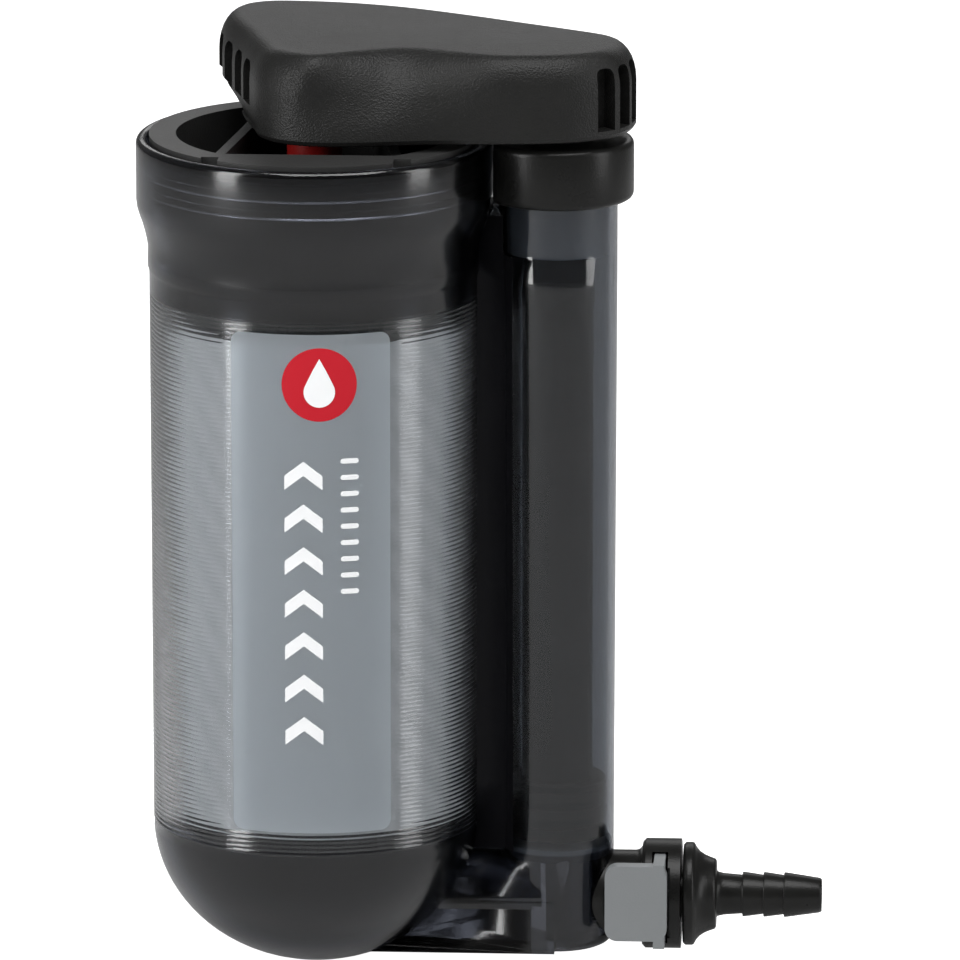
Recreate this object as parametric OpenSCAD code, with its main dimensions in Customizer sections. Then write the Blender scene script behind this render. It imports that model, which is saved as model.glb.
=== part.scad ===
// Pump water filter with a screw-in cartridge, a hand pump and a quick-release hose coupling.
// The origin is on the barrel's axis at the lowest point of its dome. +Z is up, +X runs to the pump.

/* [Barrel] */
// outer radius of the barrel wall just under the collar
barrel_r = 28.9; // [28.7:0.05:29]
// thickness of the barrel wall
barrel_wall = 1.8; // [1.5:0.1:2]
// outer radius of the flared collar
collar_r = 31.1; // [31:0.05:31.3]

/* [Pump] */
// distance from the barrel's axis to the pump's axis
pump_x = 42.4; // [42.4:0.1:43]
// bore radius of the pump tube
tube_bore_r = 9; // [8.95:0.05:9.1]
// radius of the pump rod
rod_r = 6.2; // [5.8:0.1:6.3]

/* [Handle] */
// turn of the handle about the rod at rest
handle_turn = 7.5; // [0:0.5:15]
// height of the handle's flat top
handle_top = 165; // [163:0.5:168]

/* [Hose insert] */
// radius of the barb crests
barb_r = 3.95; // [3.8:0.05:4.1]
// radius of the water passage
hose_bore_r = 1.8; // [1.5:0.1:2]

/* [Hidden] */
$fn = 96;

over = 1;              // how far a cutting shape runs past the face it cuts
gap = 0.4;             // free gap between two moving parts
run = 0.05;            // radial clearance of a running fit
touch_gap = 0.02;      // gap between two pieces that are glued together

// barrel
dome_h = 25.6;         // height of the dome's equator
dome_r = barrel_r - 0.1;
wall_top = 120.8;      // end of the straight wall
band_top = 125;        // top of the smooth band under the lip
flare_low = 128.6;
flare_high = 136.3;
collar_top = 148;
rim_r = 0.9;           // rounding of the rim
collar_bore = collar_r - 1.9;
neck_r = 27;           // bore that the lid's seal runs in
neck_low = 121;
neck_high = 132.5;
shoulder_z = 136;
ridge_in = 0.8;        // how far the collar's inner ridges stand in
ridge_zs = [139.6, 142.6];
ridge_h = 1;
port_r = 3;            // water passage from the duct into the dome
port_z = 11;

// lid
lid_r = collar_bore - gap;
lid_top = 148.6;
lid_low = shoulder_z + gap;
lid_floor = 135;
lid_floor_t = 2;
lid_core_r = collar_bore - ridge_in - gap;
lid_lip_low = 146;     // underside of the lid's widest ring
thread_zs = [138, 141, 144];
thread_h = 1.2;
lid_ring_r = lid_r - 4.7;
skirt_r = 26.3;
skirt_in_r = 23.8;
skirt_low = 118;
rib_x = 13;            // distance of each rib from the axis
rib_t = 1.8;
rib_tilt = 8;          // each rib leans this far towards the other at the rear
ledge_y = 18.8;        // inner edge of the wide ledge at the front
ledge_half = 15.5;     // half of its width
notch_x = 16.6;        // notches where the ribs meet the ring
notch_y = 24.8;
notch_size = [3, 3.4, 2];
seal_low = 124;
seal_h = 2.4;
outlet_r = 4.1;
boss_r = 7;            // boss that holds the outlet port under the lid's floor
boss_drop = 9;
outlet_bore = 2.5;
dust_r = 4.8;
dust_top = 149;
dust_roof = 1.6;
dust_low = 137;

// cartridge
sleeve_r = 26;
sleeve_t = 1.5;
sleeve_low = 28.6;
sleeve_top = 116.5;
pleats = 36;
media_r = 24.2;
media_in_r = 16.4;
media_t = 1.5;         // radial thickness of the folded sheet
carbon_r = 14.6;
core_r = 6.2;
core_bore = 4.4;
end_cap_low = 4.5;     // the end cap is a bowl that follows the dome
end_cap_t = 1.6;
end_plate_t = 1;       // flat plate on top of the bowl, which closes the media
drain_r = 3;

// pump tube
tube_low_r = 10;
tube_high_r = 10.4;
tube_top = 141;
duct_r = 10.2;
duct_z = 11.4;
foot_z = 3.3;
foot_edge = 1.8;       // rounding of the tube's lower edge
foot_wall = 2;
web_t = 9;
web_top = 136.3;
chamber_r = 8;
divider_x = 1.5;       // inlet side of the wall between the inlet chamber and the duct
divider_t = 0.8;
duct_end_x = pump_x - chamber_r + 4;
seat_low = 19.6;
seat_top = 21.8;
seat_hole_r = 0.5;
seat_hole_ring = 1.7;  // distance of the small holes from each valve's stem
inlet_valve_x = 3.6;   // places of the valves, from the pump's axis
transfer_valve_x = -5;
inlet_valve_r = 3;
transfer_valve_r = 2.6;
valve_stem_r = 0.7;
valve_t = 0.6;
cap_low = 137.6;
cap_top = 148.3;
cap_r = 13.2;
cap_flat = pump_x - collar_r - 0.3;
bush_low = 128.2;
bush_flange_t = 1.4;
rod_seal_t = 1.8;
cap_plate = cap_top - tube_top - bush_flange_t - rod_seal_t;

// rod and piston
piston_low = 23.2;
piston_top = 33.4;
piston_gap_low = 25.5;
piston_gap_top = 26.4;
piston_r = tube_bore_r - gap;
ring_h = 1.6;
ring_depth = 1.2;
ring_zs = [27.4, 30.6];
rod_bore = 4.4;
rod_bore_top = 140;
pivot_r = 5;
pivot_low = 149.1;
pivot_top = 161;
clip_z = 159.6;
clip_t = 1;
clip_r = 7;

// handle
grip_low = 149.8;
nose_r = 13.4;
palm_u = 34;           // centre of the wide part
palm_r = 25.8;
front_corner = [42.5, 14.5];    // the far end is cut on a slant, so its corners differ
back_corner = [52.5, -19.5];
corner_r = 9.8;
lift_u = 50;           // from here the underside rises
end_rise = 22;
grip_edge = 4.5;       // rounding of the upper edge
grip_low_edge = 1.2;
grip_wall = 4.2;
grip_roof = 3;
base_t = 2;
hub_r = 8;
hub_top = clip_z - gap;
scoop_u = 24;          // a hollow for the fingers in the front wall
scoop_v = 31;
scoop_r = 19;
scoop_z = handle_top + 7;
slot_low = 151.6;
slot_high = 162.3;
slot_w = 3.8;
slot_depth = 2.6;
slot_pitch = 21;
end_slot_w = 6;
end_slot_pitch = 8.2;
end_slot_rise = 2;
end_middle = (front_corner + back_corner) / 2;
end_slant = atan2(back_corner.x - front_corner.x, front_corner.y - back_corner.y);

// hose coupling, lengths measured along +X from the pump's axis
hose_z = 11.9;
shank_r = 7.6;
spigot_r = 6.5;
spigot_from = 6;
shank_from = 4.2;       // inside the tube, whose own shape trims the shank
drum_from = 15.2;
drum_to = 22;
drum_r = 9.7;
drum_fillet = 1.3;
drum_edge = 0.6;
socket_bore = 5;
seal_from = 8.5;
seal_w = 1;
seal_depth = 1;
plate_from = 17.4;
plate_t = 2;
plate_up = 8.3;        // reach of the plate above and below the hose axis
plate_down = 7;
plate_back_r = 6.8;
latch_travel = 1.5;
pad_from = 8.9;
pad_to = 19.8;
pad_low = 6.2;
pad_high = 19.9;
pad_front = 11.4;
pad_t = 2.4;
pad_edge = 2.2;
pad_seat = pad_front - pad_t - latch_travel - gap;
insert_r = 4.2;
insert_from = 9.5;
flange_from = 22.4;
flange_to = 24.4;
flange_r = 9.1;
flange_edge = 0.4;
cone_r = 6.2;           // radius where the flare ends
cone_to = 28.1;
o_ring_from = 12;
o_ring_w = 2;
barb_xs = [32.8, 36.5, 40.1];
barb_land = 0.5;
barb_low_r = 3.45;
stem_r = 4;             // radius of the stem where it leaves the cone
tip_x = 46.8;
tip_r = 2.93;

label_low = 30.1;
label_top = 119.1;
label_half = 28.4;
label_t = 0.2;
label_turn = 2;

// points on an arc about [cx, cy], from angle a0 to a1
function arc(cx, cy, r, a0, a1, n) =
    [for (i = [0 : n]) let (a = a0 + (a1 - a0) * i / n) [cx + r * cos(a), cy + r * sin(a)]];

// points on the lower quarter of an ellipse whose centre is on the axis at height z0
function bowl(rx, rz, z0, n) =
    [for (i = [0 : n]) let (a = 90 * i / n) [rx * sin(a), z0 - rz * cos(a)]];

// corner points of a folded sheet
function fold(r_out, r_in) =
    [for (i = [0 : 2 * pleats - 1]) let (a = 180 * i / pleats, r = i % 2 == 0 ? r_out : r_in)
        [r * cos(a), r * sin(a)]];

module ring(r_out, r_in, z0, z1) {
    translate([0, 0, z0])
        difference() {
            cylinder(r = r_out, h = z1 - z0);
            translate([0, 0, -over])
                cylinder(r = r_in, h = z1 - z0 + 2 * over);
        }
}

// a cylinder along +X from x0 to x1, on the hose axis
module hose_rod(r, x0, x1) {
    translate([pump_x + x0, 0, hose_z])
        rotate([0, 90, 0])
            cylinder(r = r, h = x1 - x0);
}

// [radius, distance along +X from the pump's axis] points turned about the hose axis
module hose_turned(points) {
    translate([pump_x, 0, hose_z])
        rotate([0, 90, 0])
            rotate_extrude()
                polygon(points);
}

module at_pump() {
    translate([pump_x, 0, 0])
        children();
}

// ---------- barrel ----------
module barrel_outside() {
    rotate_extrude()
        polygon(concat(
            bowl(dome_r, dome_h, dome_h, 20),
            [[barrel_r, wall_top], [barrel_r, band_top - 0.4], [barrel_r + 0.25, band_top],
             [barrel_r + 0.2, flare_low], [barrel_r + 0.55, flare_low + 2.2],
             [collar_r - 0.5, flare_high - 2], [collar_r, flare_high]],
            arc(collar_r - rim_r, collar_top - rim_r, rim_r, 0, 90, 4),
            [[0, collar_top]]));
}

module barrel_inside() {
    rotate_extrude()
        polygon(concat(
            bowl(dome_r - barrel_wall, dome_h - barrel_wall, dome_h, 20),
            [[barrel_r - barrel_wall, neck_low - 1], [neck_r, neck_low], [neck_r, neck_high],
             [collar_bore, shoulder_z], [collar_bore, collar_top + over],
             [0, collar_top + over]]));
}

module barrel() {
    color([0.25, 0.27, 0.30, 0.5]) {
        difference() {
            barrel_outside();
            barrel_inside();
            translate([dome_r - 12, 0, port_z])
                rotate([0, 90, 0])
                    cylinder(r = port_r, h = 12);
        }
        for (z = ridge_zs)
            ring(collar_bore + gap, collar_bore - ridge_in, z, z + ridge_h);
    }
}

module label() {
    color([0.8, 0.82, 0.84, 0.6])
        rotate([0, 0, -90 - label_half + label_turn])
            rotate_extrude(angle = 2 * label_half)
                polygon([
                    [label_r(label_low), label_low],
                    [label_r(label_low) + label_t, label_low],
                    [label_r(label_top) + label_t, label_top],
                    [label_r(label_top), label_top]]);
}

// radius of the barrel wall at height z
function label_r(z) = dome_r + (barrel_r - dome_r) * (z - dome_h) / (wall_top - dome_h);

// ---------- pump ----------
module tube_outside() {
    at_pump()
        rotate_extrude()
            polygon(concat(
                [[0, foot_z]],
                arc(tube_low_r - foot_edge, foot_z + foot_edge, foot_edge, -90, 0, 5),
                [[tube_high_r, bush_low], [tube_high_r, tube_top], [0, tube_top]]));
}

// an arch along +X with a round top, an upright wall on each side and a flat bottom
module arch(r, bottom, x1) {
    rotate([90, 0, 90])
        linear_extrude(height = x1) {
            intersection() {
                translate([0, duct_z])
                    circle(r = r);
                translate([-r, bottom])
                    square([2 * r, duct_z + r - bottom]);
            }
            translate([-r, bottom])
                square([2 * r, duct_z - bottom]);
        }
}

module duct_outside() {
    arch(duct_r, foot_z, pump_x);
}

module duct_inside() {
    arch(duct_r - foot_wall, foot_z - over, duct_end_x);
}

module pump_housing() {
    color([0.28, 0.30, 0.33, 0.6])
        difference() {
            union() {
                tube_outside();
                duct_outside();
                translate([barrel_r - over, -web_t / 2, duct_z])
                    cube([pump_x - barrel_r, web_t, web_top - duct_z]);
            }
            barrel_outside();
            at_pump()
                translate([0, 0, seat_low])
                    cylinder(r = tube_bore_r, h = tube_top - seat_low + over);
            // inlet chamber on the hose side of the dividing wall
            intersection() {
                at_pump()
                    translate([0, 0, foot_z + foot_wall])
                        cylinder(r = chamber_r, h = seat_low - foot_z - foot_wall + over);
                translate([pump_x - divider_x, -chamber_r - over, 0])
                    cube([2 * chamber_r, 2 * chamber_r + 2 * over, seat_low + over]);
            }
            // passage up from the duct to the valve
            intersection() {
                at_pump()
                    translate([0, 0, duct_z])
                        cylinder(r = chamber_r, h = seat_low - duct_z + over);
                translate([pump_x - chamber_r - over, -chamber_r - over, duct_z])
                    cube([chamber_r + over - divider_x - divider_t,
                          2 * chamber_r + 2 * over, seat_low - duct_z + over]);
            }
            duct_inside();
            hose_rod(spigot_r, shank_from, tube_low_r + over);
        }
}

module base_cover() {
    color([0.16, 0.17, 0.18])
        difference() {
            translate([0, foot_wall - duct_r, foot_z])
                cube([duct_end_x, 2 * (duct_r - foot_wall), foot_wall]);
            barrel_outside();
        }
}

module pump_cap() {
    edge = 1.2;
    color([0.06, 0.06, 0.06])
        difference() {
            at_pump()
                rotate_extrude()
                    polygon(concat(
                        [[tube_high_r, cap_low]],
                        arc(cap_r - edge, cap_low + edge, edge, -90, 0, 4),
                        arc(cap_r - edge, cap_top - edge, edge, 0, 90, 4),
                        [[rod_r + gap, cap_top], [rod_r + gap, cap_top - cap_plate],
                         [tube_high_r, cap_top - cap_plate]]));
            translate([pump_x - cap_flat - 10, -cap_r - over, cap_low - over])
                cube([10, 2 * cap_r + 2 * over, cap_top - cap_low + 2 * over]);
        }
}

module rod_bush() {
    color([0.62, 0.64, 0.66])
        at_pump() {
            ring(tube_bore_r - run, rod_r + run, bush_low, tube_top);
            ring(tube_high_r, rod_r + run, tube_top, tube_top + bush_flange_t);
        }
}

module rod_seal() {
    color([0.1, 0.1, 0.1])
        at_pump()
            ring(tube_high_r - 1, rod_r + run, tube_top + bush_flange_t,
                 tube_top + bush_flange_t + rod_seal_t);
}

module valve_seat() {
    color([0.75, 0.76, 0.78])
        at_pump()
            difference() {
                translate([0, 0, seat_low])
                    cylinder(r = tube_bore_r - run, h = seat_top - seat_low);
                for (x = [inlet_valve_x, transfer_valve_x])
                    translate([x, 0, seat_low - over]) {
                        cylinder(r = valve_stem_r, h = seat_top - seat_low + 2 * over);
                        for (a = [0 : 90 : 270])
                            rotate([0, 0, a])
                                translate([seat_hole_ring, 0, 0])
                                    cylinder(r = seat_hole_r, h = seat_top - seat_low + 2 * over);
                    }
            }
}

module inlet_valve() {
    color([0.85, 0.85, 0.8])
        at_pump()
            translate([inlet_valve_x, 0, seat_low]) {
                cylinder(r = valve_stem_r, h = seat_top - seat_low);
                translate([0, 0, seat_top - seat_low])
                    cylinder(r = inlet_valve_r, h = valve_t);
            }
}

module transfer_valve() {
    color([0.85, 0.85, 0.8])
        at_pump()
            translate([transfer_valve_x, 0, seat_low - valve_t]) {
                cylinder(r = transfer_valve_r, h = valve_t);
                cylinder(r = valve_stem_r, h = seat_top - seat_low + valve_t);
            }
}

// ---------- cartridge ----------
module lid_rib(side) {
    translate([side * rib_x, 0, lid_floor - over])
        rotate([0, 0, side * rib_tilt])
            translate([-rib_t / 2, -lid_r, 0])
                cube([rib_t, 2 * lid_r, lid_top - lid_floor + over - 0.6]);
}

module cartridge_lid() {
    color([0.07, 0.07, 0.075])
        difference() {
            union() {
                ring(lid_core_r, lid_ring_r, lid_low, lid_top);
                ring(lid_r, lid_ring_r, lid_lip_low, lid_top);
                for (z = thread_zs)
                    ring(lid_r, lid_core_r - gap, z, z + thread_h);
                translate([0, 0, lid_floor - lid_floor_t])
                    cylinder(r = skirt_r, h = lid_floor_t);
                ring(skirt_r, skirt_in_r, skirt_low, lid_low + 0.5);
                ring(lid_core_r, skirt_in_r, lid_low, lid_low + 2);
                ring(boss_r, outlet_r, lid_floor - boss_drop, lid_floor);
                intersection() {
                    translate([0, 0, lid_floor - over])
                        cylinder(r = lid_ring_r + 1, h = lid_top - lid_floor + over);
                    union() {
                        lid_rib(1);
                        lid_rib(-1);
                        translate([-ledge_half, -lid_r, lid_floor - over])
                            cube([2 * ledge_half, lid_r - ledge_y, lid_top - lid_floor + over]);
                    }
                }
            }
            translate([0, 0, lid_floor - boss_drop - over])
                cylinder(r = outlet_r, h = boss_drop + 2 * over);
            // notches where the ribs meet the ring
            for (s = [-1, 1])
                translate([s * notch_x - notch_size.x / 2, -notch_y, lid_top - notch_size.z])
                    cube(notch_size + [0, 0, over]);
        }
}

module lid_seal() {
    color([0.12, 0.12, 0.12])
        rotate_extrude()
            polygon([
                [skirt_r, seal_low], [neck_r - run - 0.3, seal_low], [neck_r - run, seal_low + 0.5],
                [neck_r - run, seal_low + seal_h - 0.5],
                [neck_r - run - 0.3, seal_low + seal_h], [skirt_r, seal_low + seal_h]]);
}

module outlet_port() {
    color([0.09, 0.09, 0.09])
        ring(outlet_r, outlet_bore, lid_floor - boss_drop, dust_top - dust_roof);
}

module outlet_dust_cap() {
    color([0.5, 0.06, 0.05])
        difference() {
            translate([0, 0, dust_low])
                cylinder(r = dust_r, h = dust_top - dust_low);
            translate([0, 0, dust_low - over])
                cylinder(r = outlet_r, h = dust_top - dust_roof - dust_low + over);
        }
}

module cartridge_top_cap() {
    color([0.1, 0.1, 0.1]) {
        ring(sleeve_r, core_bore, sleeve_top, skirt_low);
        ring(skirt_in_r, core_bore, skirt_low - 0.2, skirt_low + 3);
    }
}

module prefilter_sleeve() {
    color([0.74, 0.75, 0.76])
        ring(sleeve_r, sleeve_r - sleeve_t, sleeve_low, sleeve_top);
}

module filter_media() {
    color([0.92, 0.91, 0.88])
        translate([0, 0, sleeve_low])
            linear_extrude(height = sleeve_top - sleeve_low)
                difference() {
                    polygon(fold(media_r, media_in_r));
                    polygon(fold(media_r - media_t, media_in_r - media_t));
                }
}

module carbon_core() {
    color([0.05, 0.05, 0.05])
        ring(carbon_r, core_r, sleeve_low, sleeve_top);
}

module core_tube() {
    color([0.85, 0.85, 0.85])
        ring(core_r, core_bore, sleeve_low, sleeve_top);
}

module cartridge_end_cap() {
    inner_top = sleeve_low - end_plate_t;
    color([0.12, 0.12, 0.13])
        difference() {
            rotate_extrude()
                polygon(concat(
                    bowl(sleeve_r, dome_h - end_cap_low, dome_h, 16),
                    [[sleeve_r, sleeve_low], [0, sleeve_low]]));
            // the bowl is a shell under the flat plate that closes the media
            rotate_extrude()
                polygon(concat(
                    bowl(sleeve_r - end_cap_t, inner_top - end_cap_low - end_cap_t, inner_top, 16),
                    [[0, inner_top]]));
            translate([0, 0, end_cap_low - over])
                cylinder(r = drain_r, h = end_cap_t + 2 * over);
        }
}

// ---------- rod, piston ----------
module pump_rod() {
    color([0.09, 0.09, 0.1])
        at_pump()
            difference() {
                union() {
                    translate([0, 0, piston_top])
                        cylinder(r = rod_r, h = pivot_low - piston_top);
                    translate([0, 0, pivot_low - over])
                        cylinder(r = pivot_r, h = pivot_top - pivot_low + over);
                }
                translate([0, 0, piston_top - over])
                    cylinder(r = rod_bore, h = rod_bore_top - piston_top + over);
                ring(pivot_r + over, pivot_r - 0.7, clip_z, clip_z + clip_t);
            }
}

module rod_clip() {
    color([0.7, 0.7, 0.72])
        at_pump()
            difference() {
                ring(clip_r, pivot_r - 0.7, clip_z, clip_z + clip_t);
                translate([0, -1.5, clip_z - over])
                    cube([clip_r + over, 3, clip_t + 2 * over]);
            }
}

module piston_head() {
    color([0.1, 0.1, 0.11])
        at_pump()
            difference() {
                union() {
                    translate([0, 0, piston_low])
                        cylinder(r = piston_r, h = piston_gap_low - piston_low);
                    translate([0, 0, piston_low])
                        cylinder(r = piston_r - 0.6, h = piston_top - piston_low);
                    translate([0, 0, piston_gap_top])
                        cylinder(r = piston_r, h = piston_top - piston_gap_top);
                    translate([0, 0, piston_top - over])
                        cylinder(r = rod_bore, h = 6);
                }
                for (z = ring_zs)
                    ring(piston_r + over, piston_r - ring_depth, z, z + ring_h);
            }
}

module piston_seals() {
    color([0.04, 0.04, 0.04])
        at_pump()
            for (z = ring_zs)
                ring(tube_bore_r - run, piston_r - ring_depth, z, z + ring_h);
}

// ---------- handle: u runs from the rod towards the barrel ----------
module in_handle() {
    translate([pump_x, 0, 0])
        rotate([0, 0, 180 - handle_turn])
            children();
}

// a disc with a rounded upper and lower edge
module puck(r, z0, z1, edge, low) {
    translate([0, 0, z0])
        rotate_extrude($fn = 40)
            polygon(concat(
                [[0, 0]],
                [[r - low, 0], [r, low]],
                arc(r - edge, z1 - z0 - edge, edge, 0, 90, 5),
                [[0, z1 - z0]]));
}

// the point where the common tangent on one side touches the first of two circles
function touch(c0, r0, c1, r1, side, at_second) =
    let (d = norm(c1 - c0), phi = atan2(c1[1] - c0[1], c1[0] - c0[0]),
         a = phi + side * acos((r0 - r1) / d))
    (at_second ? c1 : c0) + (at_second ? r1 : r0) * [cos(a), sin(a)];

// half of the grip's outline: nose, palm, corner
function grip_side(inset, s) =
    let (nose = [0, 0], palm = [palm_u, 0], corner = s > 0 ? front_corner : back_corner,
         rn = nose_r - inset, rp = palm_r - inset, rc = corner_r - inset)
    [touch(nose, rn, palm, rp, s, false), touch(nose, rn, palm, rp, s, true),
     touch(palm, rp, corner, rc, s, false), touch(palm, rp, corner, rc, s, true),
     corner + [rc, 0]];

// a flat plate in the grip's outline
module grip_plate(inset, z0, z1) {
    front = grip_side(inset, 1);
    back = grip_side(inset, -1);
    translate([0, 0, z0])
        linear_extrude(height = z1 - z0)
            union() {
                polygon(concat(front, [for (i = [len(back) - 1 : -1 : 0]) back[i]]));
                circle(r = nose_r - inset);
                translate([palm_u, 0])
                    circle(r = palm_r - inset);
                for (corner = [front_corner, back_corner])
                    translate(corner)
                        circle(r = corner_r - inset);
            }
}

// wedge under the far end, which lifts clear of the lid
module end_lift() {
    translate([lift_u, -palm_r - corner_r, grip_low])
        rotate([0, -end_rise, 0])
            translate([0, 0, -palm_r])
                cube([palm_r, 2 * (palm_r + corner_r), palm_r]);
}

module grip_body(inset, z0, z1, edge, low) {
    hull() {
        puck(nose_r - inset, z0, z1, edge, low);
        translate([palm_u, 0, 0])
            puck(palm_r - inset, z0, z1, edge, low);
    }
    hull() {
        translate([palm_u, 0, 0])
            puck(palm_r - inset, z0, z1, edge, low);
        for (corner = [front_corner, back_corner])
            translate([corner.x, corner.y, 0])
                puck(corner_r - inset, z0, z1, edge, low);
    }
}

module scoop(grow) {
    translate([scoop_u, scoop_v, scoop_z])
        sphere(r = scoop_r + grow, $fn = 48);
}

module handle_shell() {
    color([0.06, 0.06, 0.06])
        in_handle()
            difference() {
                grip_body(0, grip_low, handle_top, grip_edge, grip_low_edge);
                difference() {
                    grip_plate(grip_wall, grip_low - over, handle_top - grip_roof);
                    scoop(grip_roof);
                }
                scoop(0);
                for (i = [-2 : 2])
                    rotate([0, 0, 180 + i * slot_pitch])
                        translate([nose_r - slot_depth, -slot_w / 2, slot_low])
                            cube([slot_depth + over, slot_w, slot_high - slot_low - grip_edge / 2]);
                translate([end_middle.x, end_middle.y, slot_low + end_slot_rise])
                    rotate([0, 0, end_slant])
                        for (i = [-1.5 : 1.5])
                            translate([corner_r - slot_depth, i * end_slot_pitch - end_slot_w / 2, 0])
                                cube([slot_depth + over, end_slot_w,
                                      slot_high - slot_low - 2 * end_slot_rise]);
                end_lift();
            }
}

module handle_base() {
    color([0.08, 0.08, 0.08])
        in_handle()
            difference() {
                union() {
                    difference() {
                        grip_plate(grip_wall, grip_low, grip_low + base_t);
                        scoop(grip_roof);
                    }
                    translate([0, 0, grip_low])
                        cylinder(r = hub_r, h = hub_top - grip_low);
                }
                translate([0, 0, grip_low - over])
                    cylinder(r = pivot_r + run, h = hub_top - grip_low + 2 * over);
                end_lift();
            }
}

// ---------- hose coupling ----------
module coupling_body() {
    color([0.06, 0.06, 0.065])
        difference() {
            union() {
                hose_rod(spigot_r, spigot_from, drum_to);
                difference() {
                    hose_turned(concat(
                        [[0, shank_from], [shank_r, shank_from]],
                        arc(shank_r + drum_fillet, drum_from - drum_fillet, drum_fillet, 180, 90, 5),
                        [[drum_r - drum_edge, drum_from], [drum_r, drum_from + drum_edge],
                         [drum_r, drum_to], [0, drum_to]]));
                    at_pump()
                        cylinder(r = tube_low_r + touch_gap, h = hose_z + 2 * drum_r);
                }
            }
            hose_rod(hose_bore_r, spigot_from - over, insert_from);
            hose_rod(socket_bore, insert_from - gap, drum_to + over);
            difference() {
                hose_rod(spigot_r + gap, seal_from, seal_from + seal_w);
                hose_rod(spigot_r - seal_depth, seal_from - over, seal_from + seal_w + over);
            }
            // flat that the thumb pad sinks onto
            translate([pump_x + pad_from - gap, -drum_r - over, pad_low - gap])
                cube([pad_to - pad_from + 2 * gap, drum_r + over - pad_seat,
                      pad_high - pad_low + 2 * gap]);
            // slot that the latch's plate slides in
            translate([pump_x + plate_from - gap, -drum_r - over, hose_z - plate_down - gap])
                cube([plate_t + 2 * gap, drum_r + over + latch_travel + gap,
                      plate_up + plate_down + 2 * gap]);
            translate([0, latch_travel, 0])
                hose_rod(plate_back_r + gap, plate_from - gap, plate_from + plate_t + gap);
            translate([pump_x + plate_from - gap, -over, hose_z - plate_back_r - gap])
                cube([plate_t + 2 * gap, latch_travel + over, 2 * (plate_back_r + gap)]);
        }
}

module coupling_seal() {
    color([0.1, 0.1, 0.1])
        difference() {
            hose_rod(spigot_r, seal_from, seal_from + seal_w);
            hose_rod(spigot_r - seal_depth, seal_from - over, seal_from + seal_w + over);
        }
}

module latch_button() {
    x0 = pump_x + pad_from;
    length = pad_to - pad_from;
    color([0.62, 0.64, 0.66])
        difference() {
            union() {
                // thumb pad with rounded corners
                for (x = [x0 + pad_edge, x0 + length - pad_edge])
                    for (z = [pad_low + pad_edge, pad_high - pad_edge])
                        translate([x, -pad_front, z])
                            rotate([-90, 0, 0])
                                cylinder(r = pad_edge, h = pad_t);
                translate([x0, -pad_front, pad_low + pad_edge])
                    cube([length, pad_t, pad_high - pad_low - 2 * pad_edge]);
                translate([x0 + pad_edge, -pad_front, pad_low])
                    cube([length - 2 * pad_edge, pad_t, pad_high - pad_low]);
                // plate that slides in the drum's slot
                translate([pump_x + plate_from, -pad_front, hose_z - plate_down])
                    cube([plate_t, pad_front, plate_up + plate_down]);
                hose_rod(plate_back_r, plate_from, plate_from + plate_t);
            }
            for (y = [0, -latch_travel])
                translate([0, y, 0])
                    hose_rod(socket_bore + gap, plate_from - over, plate_from + plate_t + over);
            translate([pump_x + plate_from - over, -latch_travel, hose_z - socket_bore - gap])
                cube([plate_t + 2 * over, latch_travel, 2 * (socket_bore + gap)]);
        }
}

module latch_spring() {
    bow_r = 5.2;
    color([0.75, 0.76, 0.78])
        intersection() {
            translate([0, plate_back_r + bow_r, 0])
                difference() {
                    hose_rod(bow_r, plate_from + 0.3, plate_from + plate_t - 0.3);
                    hose_rod(bow_r - 0.4, plate_from, plate_from + plate_t);
                }
            translate([pump_x + plate_from, plate_back_r - over, hose_z - 2.9])
                cube([plate_t, over + 1.5, 5.8]);
        }
}

module hose_insert() {
    flare_r = flange_r - cone_r;
    color([0.05, 0.05, 0.05])
        hose_turned(concat(
            [[hose_bore_r, insert_from], [insert_r, insert_from], [insert_r, flange_from],
             [flange_r - flange_edge, flange_from], [flange_r, flange_from + flange_edge],
             [flange_r, flange_to]],
            // concave flare from the flange down to the end of the cone
            [for (i = [1 : 5]) let (a = 90 * i / 5)
                [flange_r - flare_r * sin(a), flange_to + (cone_to - flange_to) * (1 - cos(a))]],
            [[stem_r, cone_to]],
            [for (x = barb_xs) each [[barb_low_r, x], [barb_r, x], [barb_r, x + barb_land]]],
            [[tip_r, tip_x], [hose_bore_r, tip_x]]));
}

module insert_o_ring() {
    color([0.1, 0.1, 0.1])
        difference() {
            hose_rod(socket_bore - run, o_ring_from, o_ring_from + o_ring_w);
            hose_rod(insert_r + run, o_ring_from - over, o_ring_from + o_ring_w + over);
        }
}

barrel();
pump_housing();
base_cover();
pump_cap();
rod_bush();
rod_seal();
valve_seat();
inlet_valve();
transfer_valve();
coupling_body();
coupling_seal();
label();
cartridge_lid();
lid_seal();
outlet_port();
outlet_dust_cap();
cartridge_top_cap();
prefilter_sleeve();
filter_media();
carbon_core();
core_tube();
cartridge_end_cap();
pump_rod();
piston_head();
piston_seals();
rod_clip();
handle_shell();
handle_base();
latch_button();
latch_spring();
hose_insert();
insert_o_ring();
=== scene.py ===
# %% [markdown]
# # A pump water filter
# A hand pump filter for camping: a smoky clear barrel with a round bottom holds a filter cartridge, a slim
# pump tube stands beside it with a swivelling grip on its rod, and a hose leaves through a quick-release
# coupling at the foot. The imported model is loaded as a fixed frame, and everything here is built around it.

import math

import bmesh
import bpy
from mathutils import Matrix, Vector


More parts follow.
